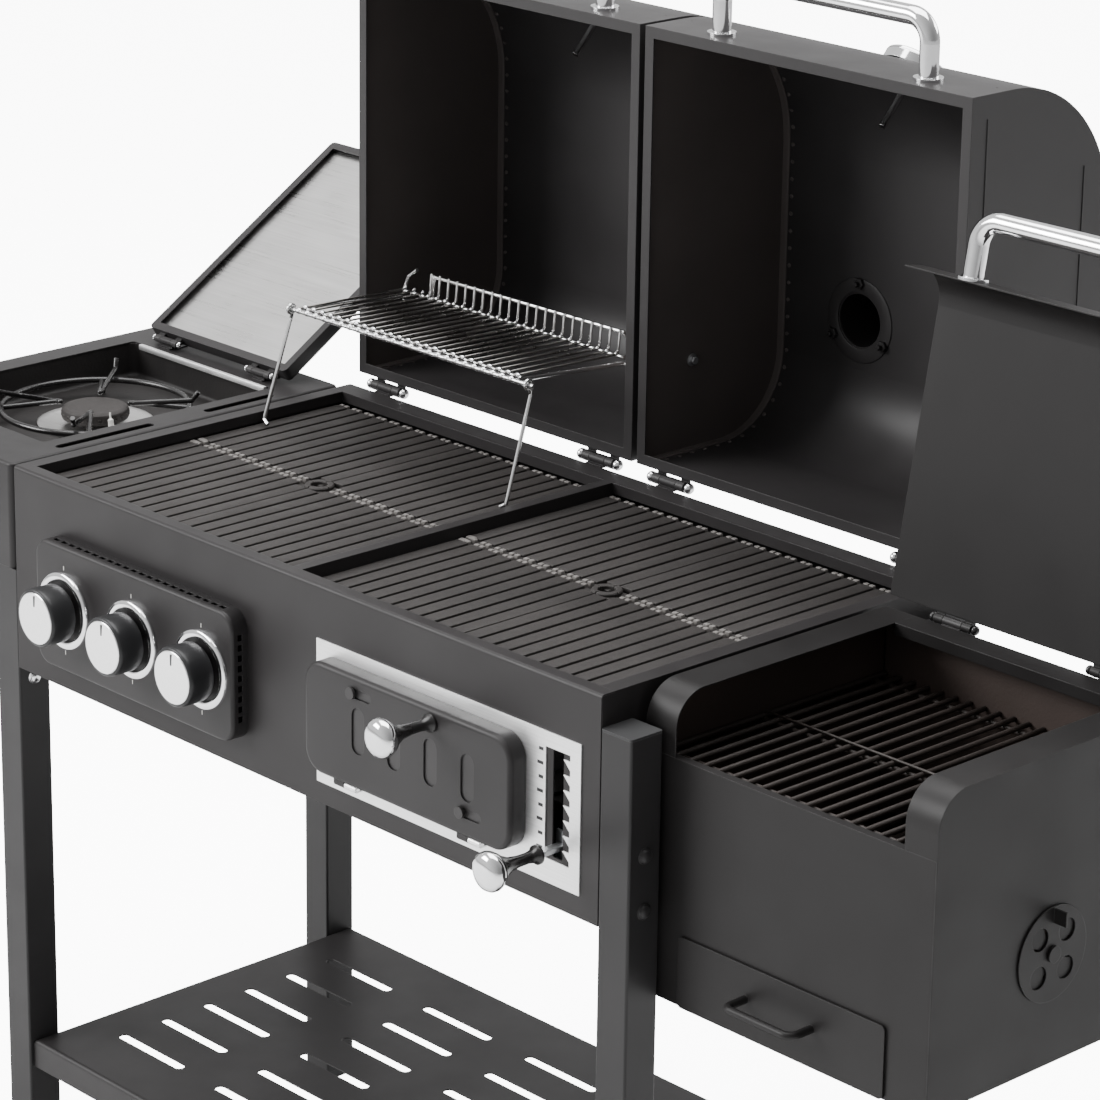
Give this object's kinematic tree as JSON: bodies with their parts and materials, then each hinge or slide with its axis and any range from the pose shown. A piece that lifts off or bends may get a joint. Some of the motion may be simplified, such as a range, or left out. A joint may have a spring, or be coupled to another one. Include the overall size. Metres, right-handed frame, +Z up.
{
  "type": "offset smoker",
  "caption": "Gas and charcoal barbecue with two hinged hoods, a side burner, a warming rack and an offset firebox, on wheeled legs.",
  "frame": {"origin": "centre of the object's box at floor level", "axes": "+Z up, +X towards the firebox at the user's right, -Y towards the user at the front"},
  "size_m": [1.618, 1.032, 1.413],
  "materials": {
    "powder_coat": "satin black powder coat on sheet steel",
    "body_coat": "satin dark grey powder coat on the body panels",
    "firebox_coat": "satin heat-resistant black paint",
    "leg_coat": "satin black powder coat on square tube",
    "cast_iron": "matte seasoned cast iron",
    "stainless": "brushed stainless steel",
    "chrome": "bright chrome plating",
    "knob_black": "black heat-resistant plastic with a bright face",
    "cap_plastic": "black moulded plastic",
    "wheel_plastic": "black moulded plastic wheel",
    "steel_plain": "plain zinc-plated steel"
  },
  "bodies": {
    "frame": {"leg_front_left": "leg_coat", "leg_rear_left": "leg_coat", "leg_front_right": "leg_coat", "leg_rear_right": "leg_coat", "leg_caps": "cap_plastic", "bottom_shelf": "powder_coat", "axle": "steel_plain", "front_panel": "body_coat", "rear_panel": "body_coat", "left_wall": "body_coat", "right_wall": "body_coat", "divider": "body_coat", "chamber_floors": "body_coat", "support_rails": "body_coat", "steel_plate": "stainless", "control_panel": "powder_coat", "knob_bezels": "chrome", "gas_manifold": "steel_plain", "burner_tubes": "stainless", "flame_tamers": "stainless", "gas_grates": "cast_iron", "charcoal_grates": "cast_iron", "firebox_tub": "firebox_coat", "firebox_sides": "firebox_coat", "firebox_grates": "firebox_coat", "hinge_leaves": "powder_coat", "hinge_pins": "chrome", "side_table": "powder_coat", "burner_pan": "powder_coat", "side_burner": "cast_iron", "trivet": "cast_iron", "bolts": "chrome"},
    "gas_hood": {"gas_lid": "powder_coat", "gas_lid_handle": "chrome", "gas_thermometer": "chrome"},
    "charcoal_hood": {"charcoal_lid": "powder_coat", "charcoal_lid_handle": "chrome", "charcoal_thermometer": "chrome", "smokestack": "powder_coat"},
    "stack_cap": {"stack_cap": "powder_coat"},
    "warming_rack": {"warming_rack": "chrome"},
    "rack_legs": {"rack_legs": "chrome"},
    "knob_1": {"knob_1": "knob_black"},
    "knob_2": {"knob_2": "knob_black"},
    "knob_3": {"knob_3": "knob_black"},
    "side_knob": {"side_knob": "knob_black"},
    "firebox_lid": {"firebox_lid": "powder_coat", "firebox_lid_handle": "chrome"},
    "firebox_damper": {"firebox_damper": "powder_coat"},
    "side_lid": {"side_lid": "powder_coat", "side_lid_panel": "stainless"},
    "charcoal_door": {"charcoal_door": "powder_coat", "door_knob": "chrome"},
    "door_slider": {"door_slider": "powder_coat"},
    "charcoal_tray": {"charcoal_tray": "body_coat", "lift_lever": "chrome"},
    "grease_tray": {"grease_tray": "body_coat"},
    "ash_drawer": {"ash_drawer": "firebox_coat"},
    "wheel_front": {"wheel_front": "wheel_plastic"},
    "wheel_rear": {"wheel_rear": "wheel_plastic"}
  },
  "joints": [
    {"name": "gas_hood_hinge", "type": "hinge", "parent": "frame", "child": "gas_hood", "pos_m": [-0.2535, 0.058, 0.863], "axis": [1, 0, 0], "range_deg": [0, 90]},
    {"name": "charcoal_hood_hinge", "type": "hinge", "parent": "frame", "child": "charcoal_hood", "pos_m": [0.2035, 0.058, 0.863], "axis": [1, 0, 0], "range_deg": [0, 90]},
    {"name": "stack_cap_turn", "type": "hinge", "parent": "charcoal_hood", "child": "stack_cap", "pos_m": [0.099, 0.502, 1.0555], "axis": [0, 1, 0], "range_deg": [-90, 90]},
    {"name": "rack_pivot", "type": "hinge", "parent": "gas_hood", "child": "warming_rack", "pos_m": [-0.2535, 0.103, 0.952], "axis": [1, 0, 0], "range_deg": [-90, 0]},
    {"name": "rack_leg_fold", "type": "hinge", "parent": "warming_rack", "child": "rack_legs", "pos_m": [-0.2535, -0.072, 0.977], "axis": [1, 0, 0], "range_deg": [0, 71]},
    {"name": "knob_1_turn", "type": "hinge", "parent": "frame", "child": "knob_1", "pos_m": [-0.363, -0.462, 0.732], "axis": [0, -1, 0], "range_deg": [0, 180]},
    {"name": "knob_2_turn", "type": "hinge", "parent": "frame", "child": "knob_2", "pos_m": [-0.248, -0.462, 0.732], "axis": [0, -1, 0], "range_deg": [0, 180]},
    {"name": "knob_3_turn", "type": "hinge", "parent": "frame", "child": "knob_3", "pos_m": [-0.133, -0.462, 0.732], "axis": [0, -1, 0], "range_deg": [0, 180]},
    {"name": "side_knob_turn", "type": "hinge", "parent": "frame", "child": "side_knob", "pos_m": [-0.647, -0.442, 0.798], "axis": [0, -1, 0], "range_deg": [0, 180]},
    {"name": "firebox_lid_hinge", "type": "hinge", "parent": "frame", "child": "firebox_lid", "pos_m": [0.615, -0.049, 0.866], "axis": [1, 0, 0], "range_deg": [0, 100.5]},
    {"name": "firebox_damper_turn", "type": "hinge", "parent": "frame", "child": "firebox_damper", "pos_m": [0.794, -0.217, 0.67], "axis": [1, 0, 0], "range_deg": [0, 45]},
    {"name": "side_lid_hinge", "type": "hinge", "parent": "frame", "child": "side_lid", "pos_m": [-0.6395, -0.022, 0.868], "axis": [1, 0, 0], "range_deg": [0, 147.5]},
    {"name": "charcoal_door_hinge", "type": "hinge", "parent": "frame", "child": "charcoal_door", "pos_m": [0.179, -0.436, 0.6715], "axis": [1, 0, 0], "range_deg": [0, 95]},
    {"name": "door_slider_slide", "type": "slide", "parent": "charcoal_door", "child": "door_slider", "axis": [1, 0, 0], "range_m": [0, 0.02]},
    {"name": "charcoal_tray_lift", "type": "slide", "parent": "frame", "child": "charcoal_tray", "axis": [0, 0, 1], "range_m": [0, 0.092]},
    {"name": "grease_tray_slide", "type": "slide", "parent": "frame", "child": "grease_tray", "axis": [0, 1, 0], "range_m": [0, 0.3]},
    {"name": "ash_drawer_slide", "type": "slide", "parent": "frame", "child": "ash_drawer", "axis": [0, -1, 0], "range_m": [0, 0.25]},
    {"name": "wheel_front_spin", "type": "hinge", "parent": "frame", "child": "wheel_front", "pos_m": [0.445, -0.443, 0.09], "axis": [0, 1, 0], "continuous": true},
    {"name": "wheel_rear_spin", "type": "hinge", "parent": "frame", "child": "wheel_rear", "pos_m": [0.445, 0.069, 0.09], "axis": [0, 1, 0], "continuous": true}
  ],
  "couplings": [
    {"joint": "rack_pivot", "follows": "gas_hood_hinge", "ratio": -1},
    {"joint": "rack_leg_fold", "follows": "gas_hood_hinge", "ratio": 0.781}
  ]
}
